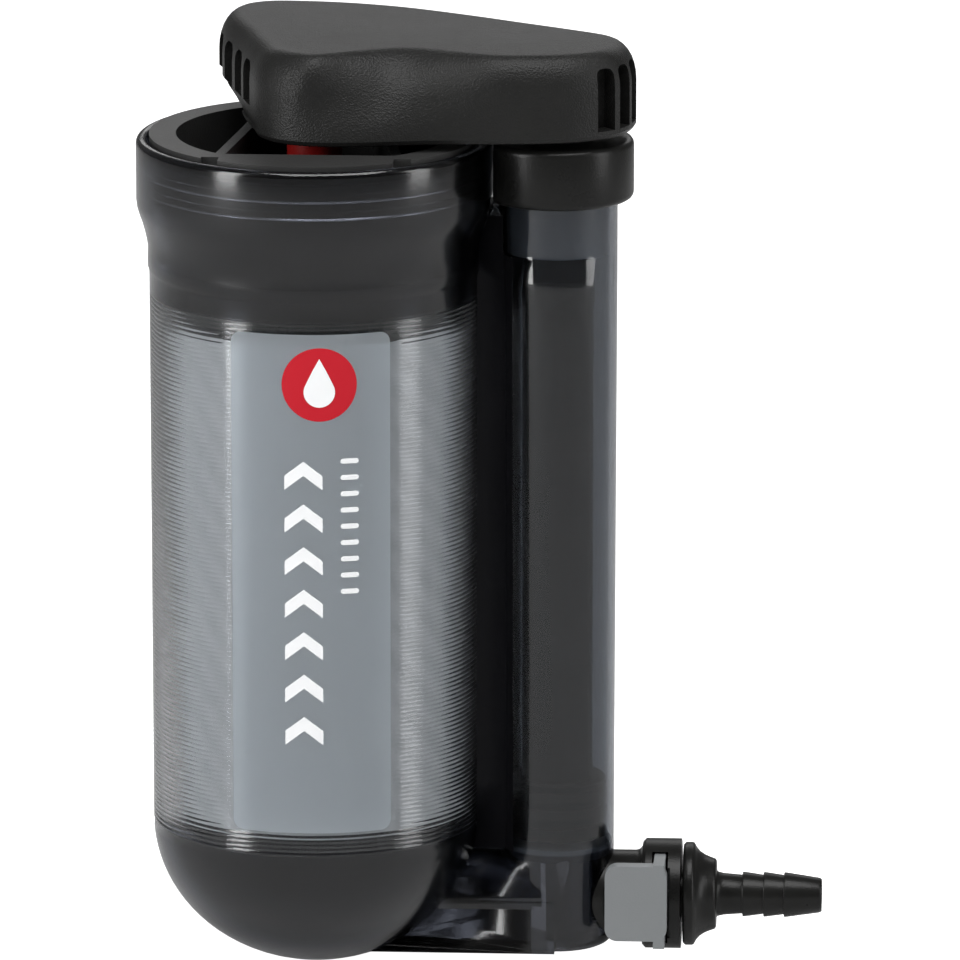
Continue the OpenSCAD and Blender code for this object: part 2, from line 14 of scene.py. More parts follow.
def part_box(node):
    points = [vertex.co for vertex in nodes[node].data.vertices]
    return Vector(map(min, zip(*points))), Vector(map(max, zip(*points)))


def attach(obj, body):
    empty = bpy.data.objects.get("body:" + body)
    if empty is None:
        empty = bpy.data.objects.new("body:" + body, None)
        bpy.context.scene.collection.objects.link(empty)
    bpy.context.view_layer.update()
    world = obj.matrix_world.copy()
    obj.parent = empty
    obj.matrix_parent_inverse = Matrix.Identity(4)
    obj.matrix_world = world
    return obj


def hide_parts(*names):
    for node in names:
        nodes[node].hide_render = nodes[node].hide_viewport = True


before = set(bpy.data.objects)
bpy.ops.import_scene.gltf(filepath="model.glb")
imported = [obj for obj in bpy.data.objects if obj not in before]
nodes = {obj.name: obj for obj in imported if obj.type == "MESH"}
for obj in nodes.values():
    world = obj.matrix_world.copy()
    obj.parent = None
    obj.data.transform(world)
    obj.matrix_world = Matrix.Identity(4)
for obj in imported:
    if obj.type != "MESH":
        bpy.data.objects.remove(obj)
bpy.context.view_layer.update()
MM = 0.001

# %% [markdown]
# ## Places that the frame gives
# The pump's axis, the hose's axis and the label's height are read from the boxes of the nodes, so the new
# pieces land where the design says. Only the profile sizes that no box can tell are written as values.

# %% Places
def middle(node):
    low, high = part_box(node)
    return (low + high) / 2


pump_x = middle("pump_rod").x
hose_axis = middle("hose_insert")
label_low, label_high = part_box("label")[0].z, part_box("label")[1].z
dome_h = 25.6 * MM
wall_top = 120.8 * MM
wall_r_low = 28.8 * MM
wall_r_high = 28.9 * MM
wall_t = 1.8 * MM


def wall_r(z):
    """Outer radius of the barrel's wall at height z."""
    return wall_r_low + (wall_r_high - wall_r_low) * (z - dome_h) / (wall_top - dome_h)


print("pump axis at x =", round(pump_x, 4), "hose axis at z =", round(hose_axis.z, 4))

# %% [markdown]
# ## Camera
# A product picture is taken from some way off with a long lens, which keeps the upright edges parallel. The
# camera looks slightly down and a little from the pump's side.

# %% Camera
CAMERA_DISTANCE = 1.9
CAMERA_LENS = 407
CAMERA_RISE = math.radians(14.0)
CAMERA_TURN = math.radians(3.0)
aim = Vector((0.0288, 0, 0.0866))
towards_camera = Vector((math.sin(CAMERA_TURN) * math.cos(CAMERA_RISE),
                         -math.cos(CAMERA_TURN) * math.cos(CAMERA_RISE), math.sin(CAMERA_RISE)))
camera_data = bpy.data.cameras.new("camera")
camera_data.sensor_width = 36
camera_data.lens = CAMERA_LENS
camera = bpy.data.objects.new("camera", camera_data)
camera.location = aim + CAMERA_DISTANCE * towards_camera
camera.rotation_euler = towards_camera.to_track_quat("Z", "Y").to_euler()
bpy.context.scene.collection.objects.link(camera)
bpy.context.scene.camera = camera
print("camera at", [round(c, 3) for c in camera.location])

# %% [markdown]
# ## Studio
# Dark plastic shows mostly what is around it, so the room matters as much as the material. The floor is a
# sheet of pale paper that glows for the camera and only faintly for the object, so it stays white while the
# black parts stay black. A tall soft box on each side draws the upright highlights, a broad one overhead brings out
# the grip's grain, and a faint strip behind gives the upward faces their sheen.

# %% Floor, world and lights
FLOOR_GLOW = 0.12
FLOOR_SEEN = 0.95    # further glow that only the camera sees
WORLD_STRENGTH = 0.12


def simple_material(name, color, roughness):
    material = bpy.data.materials.new(name)
    material.use_nodes = True
    shader = material.node_tree.nodes["Principled BSDF"]
    shader.inputs["Base Color"].default_value = (*color, 1)
    shader.inputs["Roughness"].default_value = roughness
    return material


floor_bm = bmesh.new()
bmesh.ops.create_grid(floor_bm, x_segments=1, y_segments=1, size=6)
floor_mesh = bpy.data.meshes.new("floor")
floor_bm.to_mesh(floor_mesh)
floor_bm.free()
floor = bpy.data.objects.new("floor", floor_mesh)
floor_paper = simple_material("floor_paper", (0.6, 0.6, 0.6), 0.9)
floor_paper.node_tree.nodes["Principled BSDF"].inputs["Emission Color"].default_value = (1, 1, 1, 1)
floor_tree = floor_paper.node_tree
seen = floor_tree.nodes.new("ShaderNodeLightPath").outputs["Is Camera Ray"]
glow = floor_tree.nodes.new("ShaderNodeMath")
glow.operation = "MULTIPLY_ADD"
glow.inputs[1].default_value = FLOOR_SEEN
glow.inputs[2].default_value = FLOOR_GLOW
floor_tree.links.new(seen, glow.inputs[0])
floor_tree.links.new(glow.outputs[0], floor_tree.nodes["Principled BSDF"].inputs["Emission Strength"])
floor_mesh.materials.append(floor_paper)
bpy.context.scene.collection.objects.link(floor)

world = bpy.data.worlds.new("studio")
world.use_nodes = True
world.node_tree.nodes["Background"].inputs["Color"].default_value = (1, 1, 1, 1)
world.node_tree.nodes["Background"].inputs["Strength"].default_value = WORLD_STRENGTH
bpy.context.scene.world = world
# plain colours, as a product catalogue prints them: pale paper stays white and the red stays red
bpy.context.scene.view_settings.view_transform = "Standard"


def soft_box(name, place, size, power):
    light_data = bpy.data.lights.new(name, "AREA")
    light_data.shape = "RECTANGLE"
    light_data.size, light_data.size_y = size
    light_data.energy = power
    light = bpy.data.objects.new(name, light_data)
    light.location = place
    light.rotation_euler = (Vector(place) - aim).to_track_quat("Z", "Y").to_euler()
    bpy.context.scene.collection.objects.link(light)
    return light


soft_box("left_box", (-0.75, -0.55, 0.35), (0.25, 0.8), 7)
soft_box("right_box", (0.85, -0.25, 0.3), (0.25, 0.8), 3.2)
soft_box("top_box", (0.1, -0.25, 0.9), (0.7, 0.5), 7)
# the strip isn't seen itself, nor through the clear parts
back_strip = soft_box("back_strip", (0.05, 0.9, 0.5), (0.8, 0.3), 0.9)
back_strip.visible_camera = False
back_strip.visible_transmission = False

# %% [markdown]
# ## Shared effects
# Two effects return on most of the plastics: the fine grain that a sandblasted mould leaves, and the faint
# smudges of handling, which show as patches of different gloss. Each is a node group, so that every material
# places it with its own scale and strength.

# %% Node groups
def new_group(name, inputs, outputs):
    group = bpy.data.node_groups.new(name, "ShaderNodeTree")
    for label, kind, value in inputs:
        socket = group.interface.new_socket(label, in_out="INPUT", socket_type=kind)
        socket.default_value = value
    for label, kind in outputs:
        group.interface.new_socket(label, in_out="OUTPUT", socket_type=kind)
    return group, group.nodes.new("NodeGroupInput"), group.nodes.new("NodeGroupOutput")


def math_node(tree, operation, a, b=None, clamp=False):
    """A Math node. a and b are sockets or plain numbers."""
    node = tree.nodes.new("ShaderNodeMath")
    node.operation = operation
    node.use_clamp = clamp
    for socket, value in zip(node.inputs, (a, b)):
        if isinstance(value, bpy.types.NodeSocket):
            tree.links.new(value, socket)
        elif value is not None:
            socket.default_value = value
    return node.outputs[0]


def noise_node(tree, vector, scale, detail=2.0, roughness=0.5):
    node = tree.nodes.new("ShaderNodeTexNoise")
    node.inputs["Detail"].default_value = detail
    node.inputs["Roughness"].default_value = roughness
    tree.links.new(vector, node.inputs["Vector"])
    if isinstance(scale, bpy.types.NodeSocket):
        tree.links.new(scale, node.inputs["Scale"])
    else:
        node.inputs["Scale"].default_value = scale
    return node.outputs["Fac"]


grain_group, grain_in, grain_out = new_group(
    "mould_grain", [("Vector", "NodeSocketVector", (0, 0, 0)), ("Scale", "NodeSocketFloat", 2500)],
    [("Height", "NodeSocketFloat")])
fine = noise_node(grain_group, grain_in.outputs["Vector"], grain_in.outputs["Scale"], 3, 0.6)
cells = grain_group.nodes.new("ShaderNodeTexVoronoi")
grain_group.links.new(grain_in.outputs["Vector"], cells.inputs["Vector"])
grain_group.links.new(grain_in.outputs["Scale"], cells.inputs["Scale"])
pits = math_node(grain_group, "MULTIPLY", cells.outputs["Distance"], 0.6)
grain_mix = math_node(grain_group, "ADD", fine, pits)
grain_group.links.new(grain_mix, grain_out.inputs["Height"])

smudge_group, smudge_in, smudge_out = new_group(
    "handling_smudges", [("Vector", "NodeSocketVector", (0, 0, 0)), ("Scale", "NodeSocketFloat", 60),
                         ("Roughness", "NodeSocketFloat", 0.3), ("Amount", "NodeSocketFloat", 0.1)],
    [("Roughness", "NodeSocketFloat"), ("Mask", "NodeSocketFloat")])
patches = noise_node(smudge_group, smudge_in.outputs["Vector"], smudge_in.outputs["Scale"], 5, 0.65)
centred = math_node(smudge_group, "SUBTRACT", patches, 0.5)
spread = math_node(smudge_group, "MULTIPLY", centred, smudge_in.outputs["Amount"])
smudged = math_node(smudge_group, "ADD", smudge_in.outputs["Roughness"],
                    math_node(smudge_group, "MULTIPLY", spread, 2.0), clamp=True)
smudge_group.links.new(smudged, smudge_out.inputs["Roughness"])
smudge_group.links.new(patches, smudge_out.inputs["Mask"])
print("node groups:", [g.name for g in bpy.data.node_groups])

# %% [markdown]
# ## A plastic, the base of most finishes
# One function places both groups in a material with its own colours. The colour drifts a little between two
# tones, the gloss varies with the smudges, and the grain drives a Bump node. Black mouldings are dull: their
# lower specular level keeps the upright faces dark beside the soft boxes.

# %% Plastic
def place_group(tree, group, values):
    node = tree.nodes.new("ShaderNodeGroup")
    node.node_tree = group
    for label, value in values.items():
        if isinstance(value, bpy.types.NodeSocket):
            tree.links.new(value, node.inputs[label])
        else:
            node.inputs[label].default_value = value
    return node


def color_mix(tree, factor, first, second):
    node = tree.nodes.new("ShaderNodeMix")
    node.data_type = "RGBA"
    tree.links.new(factor, node.inputs["Factor"])
    node.inputs["A"].default_value = (*first, 1)
    node.inputs["B"].default_value = (*second, 1)
    return node.outputs["Result"]


def plastic(name, dark, light, roughness, smudge=0.08, grain_scale=2500, grain_depth=0.0, constants=None):
    """A moulded plastic. constants sets sockets that are the same all over, by name."""
    material = bpy.data.materials.new(name)
    material.use_nodes = True
    tree = material.node_tree
    shader = tree.nodes["Principled BSDF"]
    place = tree.nodes.new("ShaderNodeTexCoord").outputs["Object"]
    smudges = place_group(tree, smudge_group, {"Vector": place, "Roughness": roughness, "Amount": smudge})
    grain = place_group(tree, grain_group, {"Vector": place, "Scale": grain_scale})
    tree.links.new(color_mix(tree, smudges.outputs["Mask"], dark, light), shader.inputs["Base Color"])
    tree.links.new(smudges.outputs["Roughness"], shader.inputs["Roughness"])
    if grain_depth:
        bump = tree.nodes.new("ShaderNodeBump")
        bump.inputs["Strength"].default_value = 1.0
        bump.inputs["Distance"].default_value = grain_depth
        tree.links.new(grain.outputs["Height"], bump.inputs["Height"])
        tree.links.new(bump.outputs["Normal"], shader.inputs["Normal"])
    for socket, value in (constants or {}).items():
        shader.inputs[socket].default_value = value
    return material


DULL = {"Specular IOR Level": 0.2}
grip_black = plastic("grip_black", (0.010, 0.010, 0.010), (0.016, 0.016, 0.015), 0.34, 0.06, 3000,
                     0.0001, DULL)
satin_black = plastic("satin_black", (0.006, 0.006, 0.006), (0.011, 0.011, 0.010), 0.3, 0.1, 3000,
                      0.00002, DULL)
lid_black = plastic("lid_black", (0.026, 0.026, 0.026), (0.038, 0.038, 0.037), 0.4, 0.08, 2600, 0.00004, DULL)
cartridge_black = plastic("cartridge_black", (0.010, 0.010, 0.012), (0.016, 0.016, 0.019), 0.5, 0.08, 2600,
                          0.00003, DULL)
latch_grey = plastic("latch_grey", (0.17, 0.18, 0.185), (0.20, 0.21, 0.215), 0.4, 0.08, 2600, 0.00002)
bush_grey = plastic("bush_grey", (0.78, 0.80, 0.82), (0.82, 0.84, 0.86), 0.4, 0.08, 2600, 0.00002)
cap_red = plastic("cap_red", (0.30, 0.008, 0.008), (0.38, 0.015, 0.012), 0.35, 0.08, 2600, 0.00002)
seal_rubber = plastic("seal_rubber", (0.012, 0.012, 0.012), (0.022, 0.022, 0.022), 0.62, 0.1, 4000, 0.00002)
valve_rubber = plastic("valve_rubber", (0.6, 0.6, 0.55), (0.68, 0.68, 0.63), 0.5, 0.1, 4000, 0.00002)
print("opaque plastics made")

# %% [markdown]
# ## Smoky clear plastic
# The barrel and the tube are one tinted clear plastic. Full transmission with a grey-blue colour tints the
# light at each surface it crosses, so what lies behind one wall is darkened twice. The collar, the dome and
# the joint between barrel and tube get darker tones of the same plastic, partly because they are thicker than
# the wall and partly as painted shade for the dark parts inside and behind them. The joint's tone is an opaque
# near-black.

# %% Smoky clear
CLEAR = {"Transmission Weight": 1.0, "IOR": 1.49, "Specular IOR Level": 0.32}
smoky_clear = plastic("smoky_clear", (0.68, 0.70, 0.72), (0.71, 0.73, 0.75), 0.12, 0.05, 1800,
                      0.000004, CLEAR)
# partly painted shade: a darker copy of the clear plastic for the dome, the collar and the duct, dark from the
# parts inside and behind them
smoky_thick_and_painted_shade = plastic("smoky_thick_and_painted_shade", (0.08, 0.088, 0.11), (0.105, 0.113, 0.14), 0.14, 0.06, 1800,
                      0.000006, CLEAR)
smoky_tube = plastic("smoky_tube", (0.22, 0.24, 0.27), (0.25, 0.27, 0.30), 0.1, 0.05, 1800, 0.000003, CLEAR)
# painted shade: an opaque near-black for the web and the tube's side beside the barrel, where the clear plastic
# lies in shade
web_painted_shade = plastic("web_painted_shade", (0.005, 0.005, 0.006), (0.009, 0.009, 0.011), 0.35, 0.05, 1800, 0.000003,
                    {"Specular IOR Level": 0.08})
label_film = plastic("label_film", (0.66, 0.71, 0.75), (0.70, 0.75, 0.79), 0.3, 0.05, 1800, 0.000004,
                     {"Transmission Weight": 0.8, "IOR": 1.3})
print("clear plastics made")

# %% [markdown]
# ## Print
# The film carries a red disc and white marks. Both are a thin ink, matt and slightly uneven.

# %% Print inks
ink_red = plastic("ink_red", (0.46, 0.008, 0.018), (0.52, 0.012, 0.024), 0.45, 0.1, 5000, 0.000003, DULL)
ink_white = plastic("ink_white", (0.82, 0.83, 0.84), (0.88, 0.89, 0.9), 0.45, 0.1, 5000, 0.000003)
print("inks made")

# %% [markdown]
# ## Cartridge finishes
# The sleeve is a light fleece wound on a slant, which shows as faint diagonal streaks through the barrel. The
# pleats are paper, and the core is pressed carbon.

# %% Sleeve, paper, carbon, steel
def streaked(name, dark, light, roughness, scale, slant, depth):
    """A cloth or paper with streaks that wind round the upright axis."""
    material = bpy.data.materials.new(name)
    material.use_nodes = True
    tree = material.node_tree
    shader = tree.nodes["Principled BSDF"]
    place = tree.nodes.new("ShaderNodeTexCoord").outputs["Object"]
    split = tree.nodes.new("ShaderNodeSeparateXYZ")
    tree.links.new(place, split.inputs[0])
    turn = math_node(tree, "ARCTAN2", split.outputs["Y"], split.outputs["X"])
    climb = math_node(tree, "MULTIPLY", split.outputs["Z"], scale)
    phase = math_node(tree, "ADD", climb, math_node(tree, "MULTIPLY", turn, slant))
    wave = math_node(tree, "SINE", phase)
    wobble = noise_node(tree, place, 400, 4)
    streak = math_node(tree, "MULTIPLY_ADD", wave, 0.25)
    streak.node.inputs[2].default_value = 0.5
    factor = math_node(tree, "MULTIPLY", math_node(tree, "ADD", streak, wobble), 0.6, clamp=True)
    tree.links.new(color_mix(tree, factor, dark, light), shader.inputs["Base Color"])
    shader.inputs["Roughness"].default_value = roughness
    bump = tree.nodes.new("ShaderNodeBump")
    bump.inputs["Distance"].default_value = depth
    tree.links.new(factor, bump.inputs["Height"])
    tree.links.new(bump.outputs["Normal"], shader.inputs["Normal"])
    return material


sleeve_fleece = streaked("sleeve_fleece", (0.62, 0.64, 0.65), (0.9, 0.91, 0.92), 0.8, 900, 24, 0.0002)
pleat_paper = streaked("pleat_paper", (0.75, 0.73, 0.68), (0.85, 0.83, 0.79), 0.85, 300, 0, 0.00005)
pressed_carbon = plastic("pressed_carbon", (0.01, 0.01, 0.01), (0.03, 0.03, 0.03), 0.9, 0.1, 1500, 0.0003)
spring_steel = plastic("spring_steel", (0.6, 0.6, 0.62), (0.7, 0.7, 0.72), 0.25, 0.1, 3000, 0.000003,
                       {"Metallic": 1.0})
print("materials:", len(bpy.data.materials))

# %% [markdown]
# ## Helpers that finish a piece
# A bmesh becomes an object at the origin, with smooth shading that breaks at sharp edges. Every new piece
# goes through this one function, which also hangs it on the body that carries it and hides the nodes it stands for.

# %% Finish a piece
def add_piece(name, bm, material, body, replaces=(), sharp=35):
    mesh = bpy.data.meshes.new(name)
    bm.to_mesh(mesh)
    bm.free()
    mesh.materials.clear()
    mesh.materials.append(material)
    for polygon in mesh.polygons:
        polygon.use_smooth = True
    mesh.set_sharp_from_angle(angle=math.radians(sharp))
    piece = bpy.data.objects.new(name, mesh)
    bpy.context.scene.collection.objects.link(piece)
    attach(piece, body)
    if replaces:
        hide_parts(*replaces)
    print(name, "has", len(mesh.polygons), "faces")
    return piece


def spin_profile(points, steps, start=0.0, matrix=None):
    """Turns (radius, height) points round the upright axis into a closed skin."""
    bm = bmesh.new()
    turn = Matrix.Rotation(start, 4, "Z")
    verts = [bm.verts.new(turn @ Vector((r, 0, z))) for r, z in points]
    edges = [bm.edges.new(pair) for pair in zip(verts, verts[1:])]
    bmesh.ops.spin(bm, geom=verts + edges, cent=(0, 0, 0), axis=(0, 0, 1), angle=2 * math.pi,
                   steps=steps, use_merge=True)
    bmesh.ops.remove_doubles(bm, verts=bm.verts, dist=1e-6)
    bmesh.ops.recalc_face_normals(bm, faces=bm.faces)
    if matrix is not None:
        bmesh.ops.transform(bm, matrix=matrix, verts=bm.verts)
    return bm


def arc_points(cx, cy, r, a0, a1, n):
    return [(cx + r * math.cos(math.radians(a0 + (a1 - a0) * i / n)),
             cy + r * math.sin(math.radians(a0 + (a1 - a0) * i / n))) for i in range(n + 1)]


# %% [markdown]
# ## Barrel
# The barrel is turned from one profile: up the outside of the dome, over the fine rings of the wall, round
# the flared collar, and back down the inside. The rings are real grooves, because only geometry bends
# the light in clear plastic. Under the label the film's glue fills them, so the points there move out to
# the wall.

# %% Barrel profile
RING_PITCH = 0.79 * MM
RING_DEPTH = 0.16 * MM
LABEL_TURN = math.radians(-88)
LABEL_HALF = math.radians(28.2)
rings = round((wall_top - dome_h) / RING_PITCH)

dome_out = [(wall_r_low * math.sin(a), dome_h - dome_h * math.cos(a))
            for a in [math.radians(90 * i / 24) for i in range(24)]]
wall_out = []
for i in range(rings):
    z = dome_h + i * RING_PITCH
    wall_out += [(wall_r(z) - RING_DEPTH, z)]
    wall_out += [(wall_r(z), z + 0.32 * RING_PITCH), (wall_r(z), z + 0.68 * RING_PITCH)]
collar_out = [(28.9, 120.8), (28.9, 124.3), (29.02, 124.8), (29.15, 125.2), (29.15, 127), (29.1, 128.6),
              (29.3, 130), (29.65, 131.6), (30.1, 133.2), (30.6, 134.6), (30.95, 135.8), (31.1, 137)]
LIP_R, LIP_TOP, LIP_EDGE = 31.1, 148, 1.1
collar_out += arc_points(LIP_R - LIP_EDGE, LIP_TOP - LIP_EDGE, LIP_EDGE, 0, 110, 8)
collar_in = [(29.2, 147.4), (29.2, 143.9), (28.4, 143.6), (28.4, 142.6), (29.2, 142.3), (29.2, 140.9),
             (28.4, 140.6), (28.4, 139.6), (29.2, 139.3), (29.2, 136), (27, 132.5), (27, 121), (27.1, 120)]
dome_in = [((wall_r_low - wall_t) * math.cos(a), dome_h - (dome_h - wall_t) * math.sin(a))
           for a in [math.radians(90 * i / 20) for i in range(21)]]
profile = dome_out + wall_out + [(r * MM, z * MM) for r, z in collar_out + collar_in] + dome_in
barrel_bm = spin_profile(profile, 128, LABEL_TURN)

flattened = 0
for vert in barrel_bm.verts:
    turn = math.atan2(vert.co.y, vert.co.x) - LABEL_TURN
    r = math.hypot(vert.co.x, vert.co.y)
    on_wall = wall_r(vert.co.z) - 1.5 * RING_DEPTH < r and label_low < vert.co.z < label_high
    if on_wall and abs(turn) < LABEL_HALF and r < wall_r(vert.co.z):
        grow = wall_r(vert.co.z) / r
        vert.co.x *= grow
        vert.co.y *= grow
        flattened += 1
barrel = add_piece("barrel_skin", barrel_bm, smoky_clear, "housing", ["barrel"], 60)
# the dome and the collar take the darker tone, partly painted shade
barrel.data.materials.append(smoky_thick_and_painted_shade)
for polygon in barrel.data.polygons:
    if not dome_h < polygon.center.z < wall_top:
        polygon.material_index = 1
print(rings, "rings,", flattened, "points filled under the label")

# %% [markdown]
# ## Pump housing
# The tube keeps the design's shape. A copy of it is merged and cut into short rings, so that its long round
# faces shade smoothly. The web that joins it to the barrel, and the side of the tube beside it, get an opaque
# near-black. This is painted shade, where the plastic lies in the barrel's shade and is seen edge on, through its
# whole depth. The duct at the foot gets the darker clear tone, partly for its thick plastic and partly as painted
# shade.

# %% Pump housing
housing_bm = bmesh.new()
housing_bm.from_mesh(nodes["pump_housing"].data)
bmesh.ops.remove_doubles(housing_bm, verts=housing_bm.verts, dist=2e-6)
bmesh.ops.dissolve_limit(housing_bm, angle_limit=math.radians(0.5), verts=housing_bm.verts,
                         edges=housing_bm.edges)
bush_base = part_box("rod_bush")[0].z
DUCT_TOP = 21 * MM
RING_STEP = 6 * MM
PAINTED_SHADE_FROM = 7.4 * MM         # faces further than this from the pump's axis, towards the barrel, get the painted shade
PAINTED_SHADE_FROM_AT_BUSH = 10.6 * MM
tube_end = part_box("pump_housing")[1].z
cuts = [DUCT_TOP + i * RING_STEP for i in range(int((tube_end - DUCT_TOP) / RING_STEP))]
for height in cuts + [bush_base]:
    bmesh.ops.bisect_plane(housing_bm, geom=housing_bm.verts[:] + housing_bm.edges[:] + housing_bm.faces[:],
                           plane_co=(0, 0, height), plane_no=(0, 0, 1))
housing = add_piece("pump_housing_smooth", housing_bm, smoky_tube, "housing", ["pump_housing"],
                    30)
housing.data.materials.append(web_painted_shade)
housing.data.materials.append(smoky_thick_and_painted_shade)
painted_shade_faces = 0
for polygon in housing.data.polygons:
    centre = polygon.center
    # the duct at the foot takes the darker tone, partly painted shade
    if centre.z < DUCT_TOP:
        polygon.material_index = 2
    # the web and the tube's side towards the barrel get the painted shade
    elif pump_x - centre.x > (PAINTED_SHADE_FROM_AT_BUSH if centre.z > bush_base else PAINTED_SHADE_FROM):
        polygon.material_index = 1
        painted_shade_faces += 1
print(painted_shade_faces, "faces in the web's darker tone")

# %% [markdown]
# ## Carried-over parts with rounded edges
# No moulded edge is perfectly sharp: a narrow rounding catches a line of light. The node's mesh is copied,
# its loose triangles are merged, flat areas are joined into single faces, and a Bevel modifier rounds
# what is left of the sharp edges.

# %% Rounded copies
def rounded_copy(node, material, body, width, segments=2, limit=40):
    bm = bmesh.new()
    bm.from_mesh(nodes[node].data)
    bmesh.ops.remove_doubles(bm, verts=bm.verts, dist=2e-6)
    bmesh.ops.dissolve_limit(bm, angle_limit=math.radians(1), verts=bm.verts, edges=bm.edges)
    mesh = bpy.data.meshes.new(node + "_rounded")
    bm.to_mesh(mesh)
    bm.free()
    if "custom_normal" in mesh.attributes:
        mesh.attributes.remove(mesh.attributes["custom_normal"])
    mesh.materials.clear()
    mesh.materials.append(material)
    for polygon in mesh.polygons:
        polygon.use_smooth = True
        polygon.material_index = 0
    mesh.set_sharp_from_angle(angle=math.radians(limit))
    piece = bpy.data.objects.new(node + "_rounded", mesh)
    bpy.context.scene.collection.objects.link(piece)
    bevel = piece.modifiers.new("rounding", "BEVEL")
    bevel.width = width
    bevel.segments = segments
    bevel.limit_method = "ANGLE"
    bevel.angle_limit = math.radians(limit)
    bevel.harden_normals = True
    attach(piece, body)
    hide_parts(node)
    return piece


rounded_copy("pump_cap", satin_black, "housing", 0.35 * MM, 3)
rounded_copy("coupling_body", satin_black, "housing", 0.3 * MM, 2)
rounded_copy("latch_button", latch_grey, "latch", 0.45 * MM, 3)
rounded_copy("cartridge_lid", lid_black, "cartridge", 0.3 * MM, 2)
rounded_copy("outlet_dust_cap", cap_red, "cartridge", 0.4 * MM, 3)

# %% [markdown]
# ## Hose insert
# The insert is turned on a lathe in one go: spigot, flange, a hollow cone and a stem with three barbs. It is
# spun upright and then laid along the hose's axis.

# %% Hose insert
insert_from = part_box("hose_insert")[0].x
insert_profile = [(1.8, 0), (3.9, 0), (4.2, 0.3), (4.2, 12.9)]
insert_profile += [(8.7, 12.9), (9.1, 13.3), (9.1, 14.5), (8.95, 14.8), (8.2, 15.2), (7.5, 15.8),
                   (6.95, 16.6), (6.6, 17.4), (6.35, 18.1), (6.2, 18.5), (5.9, 18.7), (4.3, 18.7),
                   (3.95, 18.95),
                   (3.7, 20), (3.45, 23.2)]
for crest in (23.3, 27, 30.6):
    insert_profile += [(3.5, crest), (3.9, crest + 0.04), (3.95, crest + 0.15), (3.94, crest + 0.5)]
    insert_profile += [(3.5, crest + 3.55)] if crest < 30 else []
insert_profile += [(3.1, 36.8), (3.0, 37.1), (2.8, 37.3), (1.9, 37.3), (1.8, 37.2), (1.8, 0)]
lay_down = Matrix.Translation((insert_from, 0, hose_axis.z)) @ Matrix.Rotation(math.radians(90), 4, "Y")
insert_bm = spin_profile([(r * MM, z * MM) for r, z in insert_profile], 64, 0.0, lay_down)
add_piece("hose_insert_turned", insert_bm, satin_black, "insert", ["hose_insert"], 50)

# %% [markdown]
# ## Grip
# The grip is a loft: one closed outline at the foot, extruded upwards level by level. Each level moves from
# the foot's outline towards the top's, whose front edge is hollowed for the fingers, and the last levels draw
# in to round the upper edge. The outlines are smooth curves through a few points, measured from the rod (u
# runs over the barrel, v towards the front).

# %% Grip outlines
def closed_curve(points, steps):
    """A smooth closed curve (Catmull-Rom) through the points, with equal steps between each pair."""
    curve = []
    n = len(points)
    for i in range(n):
        p0, p1, p2, p3 = (Vector(points[(i + k) % n]) for k in (-1, 0, 1, 2))
        for j in range(steps):
            t = j / steps
            curve.append(0.5 * (2 * p1 + (p2 - p0) * t + (2 * p0 - 5 * p1 + 4 * p2 - p3) * t ** 2
                                + (3 * p1 - p0 - 3 * p2 + p3) * t ** 3))
    return curve


grip_low, grip_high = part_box("handle_base")[0].z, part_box("handle_shell")[1].z
GRIP_TURN = math.radians(7.5)
front_foot = [(-13.4, 0), (-11.8, 7), (-6.3, 12.3), (1, 15.2), (10, 17.2), (20, 19.4), (29, 22.4), (37, 24.2),
              (44, 23.2), (49, 19), (52.4, 11.5)]
front_top = [(-13.4, 0), (-11.8, 7), (-6.3, 12.2), (1, 15.2), (9, 16.6), (17, 15), (24, 13.8), (31, 18),
             (39, 23.4), (48, 19.6), (52.4, 11.5)]
back = [(56.8, 1), (61.6, -9.5), (63.4, -17), (62, -23.5), (57, -27.8), (49, -29), (40, -28.6), (30, -26.8),
        (18, -22.6), (8, -18.4), (-2, -14.2), (-9.2, -10.2), (-12.5, -5.4)]
foot_curve = closed_curve(front_foot + back, 8)
top_curve = closed_curve(front_top + back, 8)


def signed_area(curve):
    return sum(a.x * b.y - b.x * a.y for a, b in zip(curve, curve[1:] + curve[:1])) / 2


def inset_curve(curve, amount):
    """Moves each point of a closed curve inwards by amount, whichever way round the curve runs."""
    inwards = math.copysign(1, signed_area(curve))
    moved = []
    for i, point in enumerate(curve):
        along = (curve[(i + 1) % len(curve)] - curve[i - 1]).normalized()
        moved.append(point + amount * inwards * Vector((-along.y, along.x)))
    return moved


def level_outline(share, inset):
    """The outline at a share of the height, drawn in by inset (millimetres)."""
    blend = max(0.0, (share - 0.12) / 0.88) ** 1.15
    mixed = [a.lerp(b, blend) for a, b in zip(foot_curve, top_curve)]
    return inset_curve(mixed, inset)


print("grip outline has", len(foot_curve), "points")

# %% [markdown]
# ## Grip loft
# The open edge of the foot is extruded once per level, and its points are set to that level's outline. The
# top is slightly crowned, and the underside rises at the far end so that it clears the lid.

# %% Grip loft
GRIP_HEIGHT = (grip_high - grip_low) / MM
EDGE_IN, EDGE_DOWN = 4.0, 6.4
levels = [(0.0, 1.2), (0.3, 0.45), (1.0, 0.0), (2.8, 0.0), (4.6, 0.0), (6.4, 0.0), (8.0, 0.0)]
levels += [(GRIP_HEIGHT - EDGE_DOWN * (1 - math.sin(a)), EDGE_IN * (1 - math.cos(a)))
           for a in [math.radians(x) for x in (0, 12, 24, 36, 48, 60, 70, 80, 90)]]
to_row = Matrix.Translation((pump_x, 0, grip_low)) @ Matrix.Rotation(math.pi - GRIP_TURN, 4, "Z")


def grip_point(point, height):
    """A point of the grip in the row frame. The far end of the underside rises clear of the lid."""
    lift = max(0.0, point.x - 50) * 0.42 * max(0.0, 1 - height / 8)
    crown = 0.4 * min(1.0, max(0.0, point.x / 40)) * height / GRIP_HEIGHT
    return to_row @ Vector((point.x * MM, point.y * MM, (height + lift + crown) * MM))


